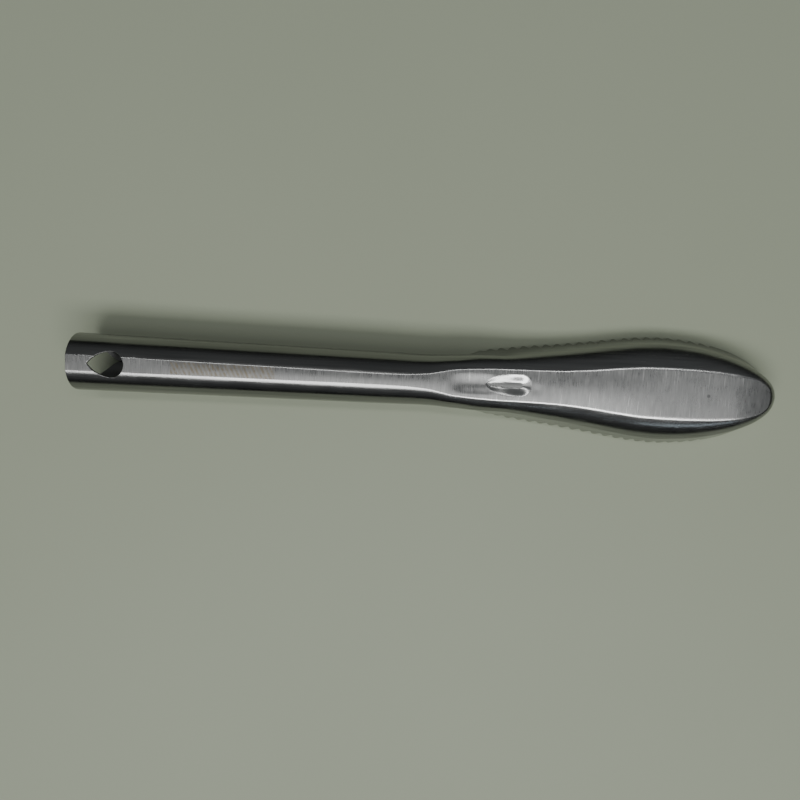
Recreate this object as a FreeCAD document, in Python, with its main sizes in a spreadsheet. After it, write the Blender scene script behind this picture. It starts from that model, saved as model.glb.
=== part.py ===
import FreeCAD, Part
import math
import os
import Sketcher
from FreeCAD import Placement, Vector

# Hand scaler pressed from one stainless sheet: a rolled tube handle with a hanging hole, an
# opening neck with a thumb dent, and an arched head whose two long edges are cut into teeth.
# The sheet is split into zones that meet face to face, one node each.
# Frame: +X towards the toe, +Y across, +Z up; z = 0 is the surface the tool rests on, and
# x = 0 is half way along. "Station" is the distance from the handle's hanging end.

# alias, value in mm or degrees
DRIVING = [
    ("overall_length", 198.0),
    ("sheet", 0.8),
    ("tube_radius_rear", 8.0),
    ("tube_radius_front", 7.25),
    ("axis_height_rear", 8.0),
    ("axis_height_front", 7.75),
    ("facet_half_rear", 2.1),
    ("facet_half_front", 1.42),
    ("seam_gap", 0.4),
    ("neck_station", 84.0),
    ("end_piece_length", 20.0),
    ("hook_hole_radius", 3.65),
    ("hook_hole_station", 11.85),
    ("hook_hole_tip_station", 5.3),
    ("corner_cut_length", 7.0),
    ("corner_cut_half_width", 6.1),
    ("thumb_rest_station", 112.0),
    ("crown_station", 128.0),
    ("crown_height", 10.5),
    ("crown_half_width", 6.8),
    ("dent_rear_station", 113.0),
    ("dent_front_station", 125.5),
    ("dent_half_width", 2.9),
    ("dent_depth", 0.8),
    ("toe_station", 163.5),
    ("crown_tip_station", 192.6),
    ("crown_outline_power", 2.8),
    ("foot_half_width", 15.55),
    ("shoulder_angle", 50.0),
    ("crease_angle", 18.0),
    ("wall_angle", 70.0),
    ("toe_wall_angle", 73.0),
    ("bend_radius", 2.2),
    ("tooth_pitch", 3.2),
    ("tooth_height", 1.9),
    ("first_gap_station", 113.6),
    ("tooth_gap_count", 21),
    ("toe_cap_station", 181.0),
]

# The neck's sections: station, top height, facet half width, crease angle, roll radius,
# wrap angle, length of the straight edge below the roll
NECK = [
    (90.0, 14.65, 1.5, 12.0, 7.15, 168.0, 0.6),
    (97.0, 14.15, 2.0, 14.5, 6.8, 148.0, 0.9),
    (105.0, 13.15, 3.5, 17.0, 5.6, 112.0, 4.2),
]

# The head's sections behind the toe: station, top height, facet half width, foot half
# width, wall angle, radius of the tight bend
HEAD = [
    (112.0, 12.35, 4.0, 8.7, 84.0, 3.2),
    (118.0, 11.75, 4.2, 9.9, 76.5, 2.6),
    (124.0, 11.25, 4.25, 10.8, 73.0, 2.4),
    (133.0, 10.7, 4.45, 11.9, 71.0, 2.2),
    (142.0, 10.5, 5.1, 13.1, 70.0, 2.2),
    (151.0, 10.5, 6.1, 14.4, 70.0, 2.2),
    (158.0, 10.5, 6.68, 15.25, 70.0, 2.2),
]
TOE_FAN_ANGLES = (90.0, 75.0, 60.0, 45.0, 30.0, 20.0, 10.0, 0.0)
# A skirt's section starts this far inside the crease, and the crown's prism trims it
TRIM_MARGIN = 1.0
# Where the neck begins, its section wraps this far round (degrees) and ends in short lips
NECK_START_WRAP, NECK_START_LIP = 176.0, 0.3
# Tooth gap: half width at the foot and at its round root, as shares of the pitch
GAP_FOOT_SHARE, GAP_ROOT_SHARE = 0.42, 0.12
# Thumb dent: how far its cutter stands proud, its widening there and narrowing at the floor,
# and how far the pointed end moves forward from the mouth to the floor
DENT_PROUD, DENT_MOUTH_SHARE, DENT_FLOOR_SHARE = 0.7, 1.2, 0.62
DENT_MOUTH_SHIFT, DENT_FLOOR_SHIFT = -2.0, 4.5
# Tools that cut right across the sheet reach this far past it
CLEARANCE = 2.0

doc = FreeCAD.newDocument("hand_scaler")
sheet = doc.addObject("Spreadsheet::Sheet", "sizes")
for row, (alias, value) in enumerate(DRIVING, start=1):
    sheet.set("A%d" % row, alias)
    sheet.set("B%d" % row, str(value))
    sheet.setAlias("B%d" % row, alias)
doc.recompute()
size = {alias: float(sheet.get(alias)) for alias, _ in DRIVING}
HALF_LENGTH = size["overall_length"] / 2


def along(station):
    """Model x of a station."""
    return station - HALF_LENGTH


def pick(alias, angle=False):
    """A size from the sheet; angles come back in radians."""
    return math.radians(size[alias]) if angle else size[alias]


# ------------------------------------------------------------ PartDesign helpers

def origin_plane(body, role):
    """One of the body's own reference planes, by its role."""
    return [item for item in body.Origin.OriginFeatures if item.Role == role][0]


def plane_sketch(body, name, role, offset):
    """An empty sketch beside a plane of the body's own origin; offset is an expression."""
    sketch = body.newObject("Sketcher::SketchObject", name)
    sketch.AttachmentSupport = (origin_plane(body, role), [""])
    sketch.MapMode = "FlatFace"
    sketch.setExpression("AttachmentOffset.Base.z", offset)
    return sketch


def constrain(sketch, name, constraint, expression):
    """A named constraint bound to the sheet."""
    index = sketch.addConstraint(constraint)
    sketch.renameConstraint(index, name)
    sketch.setExpression("Constraints." + name, expression)


def cut_through(body, sketch, name, length):
    """A pocket towards +Z from its sketch, whose volume has to show that it cut."""
    doc.recompute()
    before = body.Shape.Volume
    pocket = body.newObject("PartDesign::Pocket", name)
    pocket.Profile = sketch
    pocket.Reversed = True
    pocket.setExpression("Length", length)
    doc.recompute()
    if not body.Shape.Volume < before - 0.01:
        raise RuntimeError(name + " removed no material")
    return pocket


# ------------------------------------------------------------ handle

def taper(rear, front, station):
    """Expression for a size that tapers evenly from the hanging end to the neck."""
    return "(sizes.%s + (sizes.%s - sizes.%s) * (%s) / sizes.neck_station)" % (
        rear, front, rear, station)


def tube_sketch(body, name, station, inset):
    """Round section with the flat facet on top; station and inset are expressions."""
    sketch = plane_sketch(body, name, "YZ_Plane", "%s - sizes.overall_length / 2" % station)
    start, end = math.radians(105), math.radians(435)
    radius, height = pick("tube_radius_rear"), pick("axis_height_rear")
    circle = Part.Circle(Vector(0, height, 0), Vector(0, 0, 1), radius)
    corner = Vector(radius * math.cos(start), height + radius * math.sin(start), 0)
    sketch.addGeometry(Part.ArcOfCircle(circle, start, end))
    sketch.addGeometry(Part.LineSegment(corner, Vector(-corner.x, corner.y, 0)))
    sketch.addConstraint(Sketcher.Constraint("Coincident", 0, 1, 1, 1))
    sketch.addConstraint(Sketcher.Constraint("Coincident", 0, 2, 1, 2))
    sketch.addConstraint(Sketcher.Constraint("Horizontal", 1))
    sketch.addConstraint(Sketcher.Constraint("PointOnObject", 0, 3, -2))
    outer = taper("tube_radius_rear", "tube_radius_front", station)
    facet = taper("facet_half_rear", "facet_half_front", station)
    constrain(sketch, "axis_height", Sketcher.Constraint("DistanceY", -1, 1, 0, 3, height),
              taper("axis_height_rear", "axis_height_front", station))
    constrain(sketch, "tube_radius", Sketcher.Constraint("Radius", 0, radius),
              "%s - %s" % (outer, inset))
    constrain(sketch, "facet_height", Sketcher.Constraint("DistanceY", 0, 3, 1, 1, radius - 0.3),
              "sqrt(%s ^ 2 - %s ^ 2) - %s" % (outer, facet, inset))
    return sketch


def rectangle(sketch, corner_low, corner_high):
    """Four lines, joined and squared. Constraints added later fix the sizes."""
    x0, y0 = corner_low
    x1, y1 = corner_high
    corners = [Vector(x0, y0, 0), Vector(x1, y0, 0), Vector(x1, y1, 0), Vector(x0, y1, 0)]
    for i in range(4):
        sketch.addGeometry(Part.LineSegment(corners[i], corners[(i + 1) % 4]))
    for i in range(4):
        sketch.addConstraint(Sketcher.Constraint("Coincident", i, 2, (i + 1) % 4, 1))
    for i in (0, 2):
        sketch.addConstraint(Sketcher.Constraint("Horizontal", i))
    for i in (1, 3):
        sketch.addConstraint(Sketcher.Constraint("Vertical", i))


def tube_body(name, rear, front):
    """A stretch of the rolled tube between two stations, open along its seam."""
    body = doc.addObject("PartDesign::Body", name)
    outer = [tube_sketch(body, "outer_rear", rear, "0"), tube_sketch(body, "outer_front", front, "0")]
    inner = [tube_sketch(body, "inner_rear", rear, "sizes.sheet"),
             tube_sketch(body, "inner_front", front, "sizes.sheet")]
    for kind, label, profiles in (("AdditiveLoft", "wall", outer), ("SubtractiveLoft", "bore", inner)):
        doc.recompute()
        loft = body.newObject("PartDesign::" + kind, label)
        loft.Profile = profiles[0]
        loft.Sections = [profiles[1]]
        loft.Ruled = True
    seam = plane_sketch(body, "seam_gap_outline", "XY_Plane", "0")
    gap = pick("seam_gap") / 2
    x0, x1 = along(0.0) - 1, along(pick("neck_station")) + 1
    rectangle(seam, (x0, -gap), (x1, gap))
    constrain(seam, "gap", Sketcher.Constraint("DistanceY", 1, 1, 1, 2, 2 * gap), "sizes.seam_gap")
    constrain(seam, "centre", Sketcher.Constraint("DistanceY", -1, 1, 1, 2, gap),
              "sizes.seam_gap / 2")
    constrain(seam, "rear", Sketcher.Constraint("DistanceX", 0, 1, -1, 1, -x0),
              "sizes.overall_length / 2 + 1")
    constrain(seam, "front", Sketcher.Constraint("DistanceX", -1, 1, 0, 2, x1 + 200),
              "sizes.overall_length")
    cut_through(body, seam, "seam", "sizes.axis_height_rear")
    return body


def hook_hole(body):
    """Teardrop hole in the top of the tube, its point towards the hanging end."""
    sketch = plane_sketch(body, "hook_hole_outline", "XY_Plane", "sizes.axis_height_rear")
    radius = pick("hook_hole_radius")
    centre, tip = along(pick("hook_hole_station")), along(pick("hook_hole_tip_station"))
    tangent = math.pi - math.acos(radius / (centre - tip))
    touch = Vector(centre + radius * math.cos(tangent), radius * math.sin(tangent), 0)
    circle = Part.Circle(Vector(centre, 0, 0), Vector(0, 0, 1), radius)
    sketch.addGeometry(Part.ArcOfCircle(circle, -tangent, tangent))
    sketch.addGeometry(Part.LineSegment(touch, Vector(tip, 0, 0)))
    sketch.addGeometry(Part.LineSegment(Vector(tip, 0, 0), Vector(touch.x, -touch.y, 0)))
    sketch.addConstraint(Sketcher.Constraint("Tangent", 0, 2, 1, 1))
    sketch.addConstraint(Sketcher.Constraint("Tangent", 0, 1, 2, 2))
    sketch.addConstraint(Sketcher.Constraint("Coincident", 1, 2, 2, 1))
    sketch.addConstraint(Sketcher.Constraint("PointOnObject", 0, 3, -1))
    sketch.addConstraint(Sketcher.Constraint("PointOnObject", 1, 2, -1))
    constrain(sketch, "round_end", Sketcher.Constraint("Radius", 0, radius),
              "sizes.hook_hole_radius")
    constrain(sketch, "centre", Sketcher.Constraint("DistanceX", 0, 3, -1, 1, -centre),
              "sizes.overall_length / 2 - sizes.hook_hole_station")
    constrain(sketch, "tip", Sketcher.Constraint("DistanceX", 1, 2, -1, 1, -tip),
              "sizes.overall_length / 2 - sizes.hook_hole_tip_station")
    cut_through(body, sketch, "hook_hole", "sizes.tube_radius_rear + 1")


def corner_cuts(body):
    """The sheet's two lower corners are cut off, which leaves a notch under the end."""
    sketch = plane_sketch(body, "corner_cut_outline", "XY_Plane", "0")
    half, depth, end = pick("corner_cut_half_width"), pick("corner_cut_length"), along(0.0)
    corners = [Vector(end, -half, 0), Vector(end + depth, 0, 0), Vector(end, half, 0)]
    for i in range(3):
        sketch.addGeometry(Part.LineSegment(corners[i], corners[(i + 1) % 3]))
    for i in range(3):
        sketch.addConstraint(Sketcher.Constraint("Coincident", i, 2, (i + 1) % 3, 1))
    sketch.addConstraint(Sketcher.Constraint("Vertical", 2))
    sketch.addConstraint(Sketcher.Constraint("PointOnObject", 0, 2, -1))
    constrain(sketch, "width", Sketcher.Constraint("DistanceY", 0, 1, 1, 2, 2 * half),
              "sizes.corner_cut_half_width * 2")
    constrain(sketch, "half", Sketcher.Constraint("DistanceY", -1, 1, 1, 2, half),
              "sizes.corner_cut_half_width")
    constrain(sketch, "depth", Sketcher.Constraint("DistanceX", 0, 1, 0, 2, depth),
              "sizes.corner_cut_length")
    constrain(sketch, "end", Sketcher.Constraint("DistanceX", 0, 1, -1, 1, -end),
              "sizes.overall_length / 2")
    cut_through(body, sketch, "corner_cuts", "sizes.axis_height_rear")


# ------------------------------------------------------------ pressed sections

def wall_arcs(edge, top, crease, radius, bend):
    """Centres of the two outer arcs of one side: shoulder, then tight bend."""
    shoulder = pick("shoulder_angle", angle=True)
    first = (edge - radius * math.sin(crease), top - radius * math.cos(crease))
    second = (first[0] + (radius - bend) * math.sin(shoulder),
              first[1] + (radius - bend) * math.cos(shoulder))
    return first, second


def on_arc(centre, radius, angle):
    """Point of an arc, at an angle from straight up."""
    return (centre[0] + radius * math.sin(angle), centre[1] + radius * math.cos(angle))


def side_points(edge, top, crease, radius, bend, wall, wall_length, to_floor):
    """Outer and inner corner and mid-arc points of one side, as (out, up) pairs.
    Outer order: crease, arc middle, shoulder, arc middle, wall top, wall foot."""
    shoulder = pick("shoulder_angle", angle=True)
    first, second = wall_arcs(edge, top, crease, radius, bend)
    curves = []
    for inset in (0.0, pick("sheet")):
        start = crease
        if inset:
            start = math.acos((radius * math.cos(crease) - inset) / (radius - inset))
        begin = on_arc(first, radius - inset, start)
        middle = on_arc(first, radius - inset, (start + shoulder) / 2)
        turn = on_arc(first, radius - inset, shoulder)
        curl = on_arc(second, bend - inset, (shoulder + wall) / 2)
        last = on_arc(second, bend - inset, wall)
        length = last[1] / math.sin(wall) if to_floor else wall_length
        foot = (last[0] + length * math.cos(wall), last[1] - length * math.sin(wall))
        curves.append([begin, middle, turn, curl, last, foot])
    return curves


def place(points, where, direction):
    """Turn (out, up) pairs into space, out from the point "where" along "direction"."""
    return [Vector(where.x + direction.x * out, where.y + direction.y * out, up)
            for out, up in points]


def strip_edges(points):
    """Two arcs and a line through one side's six points."""
    return [Part.Arc(points[0], points[1], points[2]).toShape(),
            Part.Arc(points[2], points[3], points[4]).toShape(),
            Part.makeLine(points[4], points[5])]


def half_wire(where, direction, curves, top):
    """Closed section of one side, from TRIM_MARGIN inside the crease out to the foot."""
    outer, inner = [place(points, where, direction) for points in curves]
    start_out, start_in = place([(curves[0][0][0] - TRIM_MARGIN, top),
                                 (curves[0][0][0] - TRIM_MARGIN, top - pick("sheet"))],
                                where, direction)
    edges = [Part.makeLine(start_out, outer[0])] + strip_edges(outer)
    edges += [Part.makeLine(outer[5], inner[5])]
    edges += strip_edges(inner)[::-1]
    edges += [Part.makeLine(inner[0], start_in), Part.makeLine(start_in, start_out)]
    return Part.Wire(Part.__sortEdges__(edges))


def full_wire(x, curves):
    """Closed section of the whole neck, facet and both sides."""
    sides = []
    for sign in (1, -1):
        sides.append([place(points, Vector(x, 0, 0), Vector(0, sign, 0)) for points in curves])
    (right_out, right_in), (left_out, left_in) = sides
    edges = [Part.makeLine(left_out[0], right_out[0])] + strip_edges(right_out)
    edges += [Part.makeLine(right_out[5], right_in[5])] + strip_edges(right_in)[::-1]
    edges += [Part.makeLine(right_in[0], left_in[0])] + strip_edges(left_in)
    edges += [Part.makeLine(left_in[5], left_out[5])] + strip_edges(left_out)[::-1]
    return Part.Wire(Part.__sortEdges__(edges))


def shoulder_radius(edge, foot, top, crease, bend, wall):
    """Shoulder radius that brings the wall's foot to the wanted half width at the floor."""
    turn = pick("shoulder_angle", angle=True)
    slope = math.cos(wall) / math.sin(wall)
    bend_out = bend * (math.sin(wall) - math.sin(turn))
    bend_down = bend * (math.cos(turn) - math.cos(wall))
    room = foot - edge - bend_out - (top - bend_down) * slope
    return room / (math.sin(turn) - math.sin(crease)
                   - (math.cos(crease) - math.cos(turn)) * slope)


def crown_outline(angle):
    """Crown edge in the toe, a superellipse quarter: (x, y) for a fan angle."""
    power = pick("crown_outline_power")
    reach = pick("crown_tip_station") - pick("toe_station")
    share = 1 - abs(math.cos(angle)) ** power
    return (along(pick("toe_station")) + reach * math.cos(angle),
            pick("crown_half_width") * share ** (1 / power))


def foot_outline(angle):
    """Foot of the wall in the toe, an ellipse quarter: (x, y) for a fan angle."""
    reach = pick("overall_length") - pick("toe_station")
    return (along(pick("toe_station")) + reach * math.cos(angle),
            pick("foot_half_width") * math.sin(angle))


def head_wires(sign):
    """Sections of one side from the thumb rest to the toe's tip."""
    wires = []
    for station, top, edge, foot, wall, bend in HEAD:
        crease, lean = pick("crease_angle", angle=True), math.radians(wall)
        radius = shoulder_radius(edge, foot, top, crease, bend, lean)
        curves = side_points(edge, top, crease, radius, bend, lean, 0.0, True)
        wires.append(half_wire(Vector(along(station), 0, 0), Vector(0, sign, 0), curves, top))
    for degrees in TOE_FAN_ANGLES:
        angle = math.radians(degrees)
        edge_x, edge_y = crown_outline(angle)
        foot_x, foot_y = foot_outline(angle)
        if degrees == 0.0:
            edge_y = foot_y = 0.0
        if degrees == 90.0:
            edge_x = foot_x = along(pick("toe_station"))
        way = Vector(foot_x - edge_x, foot_y - edge_y, 0)
        turned = 1 - math.sin(angle)
        lean = pick("wall_angle", True) * (1 - turned) + pick("toe_wall_angle", True) * turned
        crease, bend = pick("crease_angle", angle=True), pick("bend_radius")
        radius = shoulder_radius(0.0, way.Length, pick("crown_height"), crease, bend, lean)
        curves = side_points(0.0, pick("crown_height"), crease, radius, bend, lean, 0.0, True)
        way.normalize()
        wires.append(half_wire(Vector(edge_x, sign * edge_y, 0), Vector(way.x, sign * way.y, 0),
                               curves, pick("crown_height")))
    return wires


def neck_wires():
    """Sections of the whole neck, from the tube to the thumb rest."""
    wires = []
    radius, facet = pick("tube_radius_front"), pick("facet_half_front")
    top = pick("axis_height_front") + math.sqrt(radius ** 2 - facet ** 2)
    rows = [(pick("neck_station"), top, facet, math.degrees(math.asin(facet / radius)), radius,
             NECK_START_WRAP, NECK_START_LIP)] + NECK
    for station, top, edge, crease, radius, wrap, length in rows:
        curves = side_points(edge, top, math.radians(crease), radius, radius,
                             math.radians(wrap), length, False)
        wires.append(full_wire(along(station), curves))
    station, top, edge, foot, wall, bend = HEAD[0]
    crease, lean = pick("crease_angle", angle=True), math.radians(wall)
    radius = shoulder_radius(edge, foot, top, crease, bend, lean)
    wires.append(full_wire(along(station),
                           side_points(edge, top, crease, radius, bend, lean, 0.0, True)))
    return wires


def crown_edge_curve(sign):
    """Plan curve of the crown's edge on one side, from the neck to the tip."""
    points = [Vector(along(row[0]), sign * row[2], 0) for row in HEAD]
    for degrees in TOE_FAN_ANGLES:
        x, y = crown_outline(math.radians(degrees))
        if degrees == 0.0:
            y = 0.0
        if degrees == 90.0:
            x = along(pick("toe_station"))
        points.append(Vector(x, sign * y, 0))
    ahead, inward = Vector(1, 0, 0), Vector(0, -sign, 0)
    curve = Part.BSplineCurve()
    curve.interpolate(Points=points, InitialTangent=ahead, FinalTangent=inward)
    return curve


def crown_prism(low, high):
    """Everything over the flat top's plan outline, between two heights."""
    left, right = crown_edge_curve(1), crown_edge_curve(-1)
    rear = Part.makeLine(right.StartPoint, left.StartPoint)
    wire = Part.Wire(Part.__sortEdges__([left.toShape(), right.toShape(), rear]))
    wire.translate(Vector(0, 0, low))
    return Part.Face(wire).extrude(Vector(0, 0, high - low))


def top_strip(thickness):
    """The flat top from the neck to the tip, bent down towards the head in side view."""
    rows = [(row[0], row[1]) for row in HEAD if row[1] > pick("crown_height")]
    bend_end = [row[0] for row in HEAD if row[1] == pick("crown_height")][0]
    points = [Vector(along(station), 0, top) for station, top in rows]
    points.append(Vector(along(bend_end), 0, pick("crown_height")))
    curve = Part.BSplineCurve()
    curve.interpolate(Points=points, InitialTangent=points[1] - points[0],
                      FinalTangent=Vector(1, 0, 0))
    drop = Vector(0, 0, -thickness)
    lower = curve.copy()
    lower.translate(drop)
    tip = Vector(along(pick("crown_tip_station")) + 1, 0, pick("crown_height"))
    edges = [curve.toShape(), Part.makeLine(curve.EndPoint, tip), Part.makeLine(tip, tip + drop),
             Part.makeLine(tip + drop, lower.EndPoint), lower.toShape(),
             Part.makeLine(lower.StartPoint, curve.StartPoint)]
    width = pick("foot_half_width")
    face = Part.Face(Part.Wire(Part.__sortEdges__(edges)))
    face.translate(Vector(0, -width, 0))
    return face.extrude(Vector(0, 2 * width, 0))


def slab(rear, front):
    """A block across the whole tool between two stations."""
    width = 2 * (pick("foot_half_width") + CLEARANCE)
    height = 2 * (pick("axis_height_rear") + CLEARANCE)
    return Part.makeBox(front - rear, width, height, Vector(along(rear), -width / 2, -CLEARANCE))


def tooth_gaps():
    """Pointed notches with a small round root, across the whole tool."""
    pitch, height = pick("tooth_pitch"), pick("tooth_height")
    foot, root = pitch * GAP_FOOT_SHARE, pitch * GAP_ROOT_SHARE
    width, gaps = 2 * (pick("foot_half_width") + CLEARANCE), []
    for number in range(int(pick("tooth_gap_count"))):
        middle = along(pick("first_gap_station")) + number * pitch
        left, right = Vector(middle - foot, 0, -0.5), Vector(middle + foot, 0, -0.5)
        top = Vector(middle, 0, height)
        left_root, right_root = Vector(middle - root, 0, height - root), Vector(
            middle + root, 0, height - root)
        edges = [Part.makeLine(left, left_root), Part.Arc(left_root, top, right_root).toShape(),
                 Part.makeLine(right_root, right), Part.makeLine(right, left)]
        face = Part.Face(Part.Wire(edges))
        face.translate(Vector(0, -width / 2, 0))
        gaps.append(face.extrude(Vector(0, width, 0)))
    return Part.makeCompound(gaps)


def dent_outline(grow, nose_shift, share, level):
    """Outline at one level of the dent: pointed towards the handle, round at the head."""
    half = (pick("dent_half_width") + grow) * share
    middle = pick("dent_front_station") - pick("dent_half_width")
    nose = Vector(along(pick("dent_rear_station") + nose_shift) - grow, 0, level)
    up, tip, down = [Vector(along(middle) + half * c, half * side, level)
                     for c, side in ((0, 1), (1, 0), (0, -1))]
    return Part.Wire([Part.makeLine(nose, up), Part.Arc(up, tip, down).toShape(),
                      Part.makeLine(down, nose)])


def dent_solid(grow):
    """The pressed thumb dent as a solid, sunk square to the sloping top."""
    rows = {row[0]: row[1] for row in HEAD}
    rear, front = HEAD[0][0], HEAD[2][0]
    slope = math.atan((rows[rear] - rows[front]) / (front - rear))
    centre = Vector(along((rear + front) / 2), 0, (rows[rear] + rows[front]) / 2)
    rim, floor = centre.z + DENT_PROUD, centre.z - pick("dent_depth") - grow
    mouth = dent_outline(grow, DENT_MOUTH_SHIFT, DENT_MOUTH_SHARE, rim)
    bottom = dent_outline(grow, DENT_FLOOR_SHIFT, DENT_FLOOR_SHARE, floor)
    loft = Part.makeLoft([mouth, bottom], True, True)
    loft.rotate(centre, Vector(0, 1, 0), math.degrees(slope))
    return loft


def pressed_feature(name, shape):
    """A pressed zone as a document object."""
    feature = doc.addObject("Part::Feature", name)
    feature.Shape = shape
    feature.Placement = Placement()
    return feature


def build_handle():
    """The tube's two stretches, cut by a hole and by the corner notch."""
    end = tube_body("hanging_end", "0", "sizes.end_piece_length")
    hook_hole(end)
    corner_cuts(end)
    tube = tube_body("handle_tube", "sizes.end_piece_length", "sizes.neck_station")
    return [end, tube]


def thumb_rest(prism):
    """The flat top's first stretch, with the dent pressed down through it."""
    zone = slab(pick("thumb_rest_station"), pick("crown_station"))
    plate = top_strip(pick("sheet")).common(prism).common(zone)
    under_top = top_strip(pick("sheet") + pick("dent_depth") + 1).common(prism).common(zone)
    hollow = dent_solid(0.0)
    skin = dent_solid(pick("sheet")).common(under_top)
    return plate.fuse(skin).cut(hollow).removeSplitter()


def build_pressed_zones():
    """The neck and the head: the flat top, the toothed sides and the toe."""
    prism = crown_prism(0, 20)
    crown = top_strip(pick("sheet")).common(prism)
    crown = crown.common(slab(pick("crown_station"), pick("overall_length")))
    zones = {"neck": Part.makeLoft(neck_wires(), True, False),
             "thumb_rest": thumb_rest(prism), "head_crown": crown}
    gaps, toe = tooth_gaps(), []
    for side, sign in (("left", 1), ("right", -1)):
        shell = Part.makeLoft(head_wires(sign), True, False).cut(prism)
        skirt = shell.common(slab(pick("thumb_rest_station"), pick("toe_cap_station")))
        zones[side + "_toothed_skirt"] = skirt.cut(gaps)
        toe.append(shell.common(slab(pick("toe_cap_station"), pick("overall_length") + 2)))
    zones["toe_cap"] = toe[0].fuse(toe[1]).removeSplitter()
    return [pressed_feature(name, shape) for name, shape in zones.items()]


subparts = build_handle() + build_pressed_zones()
doc.recompute()
for item in doc.Objects:
    if "Invalid" in item.State or "Error" in item.State:
        raise RuntimeError("%s did not build: %s" % (item.Name, item.State))
os.makedirs("parts", exist_ok=True)
for item in subparts:
    item.Label = item.Name
    solid = item.Shape
    if solid.isNull() or not solid.isValid():
        raise RuntimeError(item.Label + " has a bad shape")
    box = solid.BoundBox
    print("%-22s solids %d faces %3d volume %8.2f  x %.2f..%.2f y %.2f..%.2f z %.2f..%.2f" % (
        item.Label, len(solid.Solids), len(solid.Faces), solid.Volume,
        box.XMin, box.XMax, box.YMin, box.YMax, box.ZMin, box.ZMax))
    solid.exportStep("parts/%s.step" % item.Label)
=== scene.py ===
import math

import bpy
import numpy as np
from mathutils import Matrix, Vector


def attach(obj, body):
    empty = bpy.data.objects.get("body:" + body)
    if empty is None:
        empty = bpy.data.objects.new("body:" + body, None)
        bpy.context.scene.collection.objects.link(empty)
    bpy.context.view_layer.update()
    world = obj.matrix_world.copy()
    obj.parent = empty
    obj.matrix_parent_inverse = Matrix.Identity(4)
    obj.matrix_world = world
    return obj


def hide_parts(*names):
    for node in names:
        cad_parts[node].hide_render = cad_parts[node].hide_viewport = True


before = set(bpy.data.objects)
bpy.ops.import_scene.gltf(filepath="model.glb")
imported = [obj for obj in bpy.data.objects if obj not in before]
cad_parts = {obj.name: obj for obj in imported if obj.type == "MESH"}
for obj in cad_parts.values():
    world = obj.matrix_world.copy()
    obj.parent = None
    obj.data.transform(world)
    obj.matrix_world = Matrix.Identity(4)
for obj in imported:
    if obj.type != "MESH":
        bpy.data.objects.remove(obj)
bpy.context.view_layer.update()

# Pressed stainless steel hand scaler. Every visible piece is a zone of one sheet: its outer
# skin is worked out from the tool's cross-sections, then given the sheet's thickness, with
# rounded rims where the real sheet ends. Sizes are in millimetres until a mesh is made.
# "Station" is the distance from the hanging end; x = station - HALF_LENGTH.

MM = 0.001
SHEET = 0.8
HALF_LENGTH = 99.0

# Where one zone or shape hands over to the next
END_PIECE_STATION = 20.0
NECK_STATION = 84.0
HEAD_STATION = 112.0
CROWN_STATION = 128.0
TOE_STATION = 163.5
TOE_CAP_STATION = 181.0
CROWN_TIP_STATION = 192.6

# Slopes on the way down a section, below level: the crease, the shoulder and the wall's bend
CREASE = math.radians(18.0)
SHOULDER = math.radians(50.0)
WALL = math.radians(70.0)
TOE_WALL = math.radians(73.0)
BEND_RADIUS = 2.2

# Tube: its sizes at the hanging end and at the neck, and how far it is wrapped each way
TUBE_REAR = {"radius": 8.0, "axis": 8.0, "facet": 2.1}
TUBE_FRONT = {"radius": 7.25, "axis": 7.75, "facet": 1.42}
TUBE_WRAP = math.radians(176.0)
SEAM_GAP = 0.4

# Head: the crown's edge and the wall's foot, then how the crown bends down at the toe
CROWN_HEIGHT = 10.5
CROWN_HALF_WIDTH = 6.8
CROWN_OUTLINE_POWER = 2.8
FOOT_HALF_WIDTH = 15.55
HEAD_ROUNDING, TOE_ROUNDING = 3.0, 2.0
DROOP_STATION = 181.0
TOE_DROOP = 1.7

# The top is arched across: its slope at the edges, and where that comes in and dies out
CAMBER = math.radians(3.5)
CAMBER_IN = (END_PIECE_STATION, 38.0)
CAMBER_OUT = (148.0, TOE_STATION)

# Rounded rim: how far it stands out past the sheet's cut edge, and where its points are, in
# degrees round from the outer skin. Room is made for it along the foot from RIM_STATION on.
RIM_BULGE = 0.2
RIM_STEPS = (30.0, 60.0, 90.0, 120.0, 150.0)
RIM_STATION = 105.0

# Teeth: a gap's profile is flat at the tips for TIP_SHARE of half a pitch, then rises
TOOTH_PITCH = 3.2
TOOTH_HEIGHT = 1.9
FIRST_GAP_STATION = 113.6
GAP_COUNT = 21
TIP_SHARE = 0.14
RISE_SHARE = 0.76

# Half-step used to find slopes by difference
PROBE = 0.02


# ---------------------------------------------------------------- cross-sections

def tube_row(station):
    """Section of the rolled tube: it tapers evenly, and its lips leave the seam gap."""
    share = station / NECK_STATION
    radius, axis, facet = [TUBE_REAR[k] + (TUBE_FRONT[k] - TUBE_REAR[k]) * share
                           for k in ("radius", "axis", "facet")]
    lip = (radius * math.sin(TUBE_WRAP) - SEAM_GAP / 2) / -math.cos(TUBE_WRAP)
    return (station, axis + math.sqrt(radius ** 2 - facet ** 2), facet,
            math.asin(facet / radius), radius, radius, TUBE_WRAP, lip, 1.0)


def shoulder_radius(reach, top, crease, bend, wall):
    """Shoulder radius that puts the wall's foot at "reach" from the crease, at height 0."""
    slope = np.cos(wall) / np.sin(wall)
    bend_out = bend * (np.sin(wall) - math.sin(SHOULDER))
    bend_down = bend * (math.cos(SHOULDER) - np.cos(wall))
    room = reach - bend_out - (top - bend_down) * slope
    return room / (math.sin(SHOULDER) - np.sin(crease)
                   - (np.cos(crease) - math.cos(SHOULDER)) * slope)


def wall_length(top, crease, radius, bend, wall):
    """Straight wall below the bend, down to height 0."""
    drop = radius * (np.cos(crease) - math.cos(SHOULDER))
    drop = drop + bend * (math.cos(SHOULDER) - np.cos(wall))
    return (top - drop) / np.sin(wall)


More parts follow.
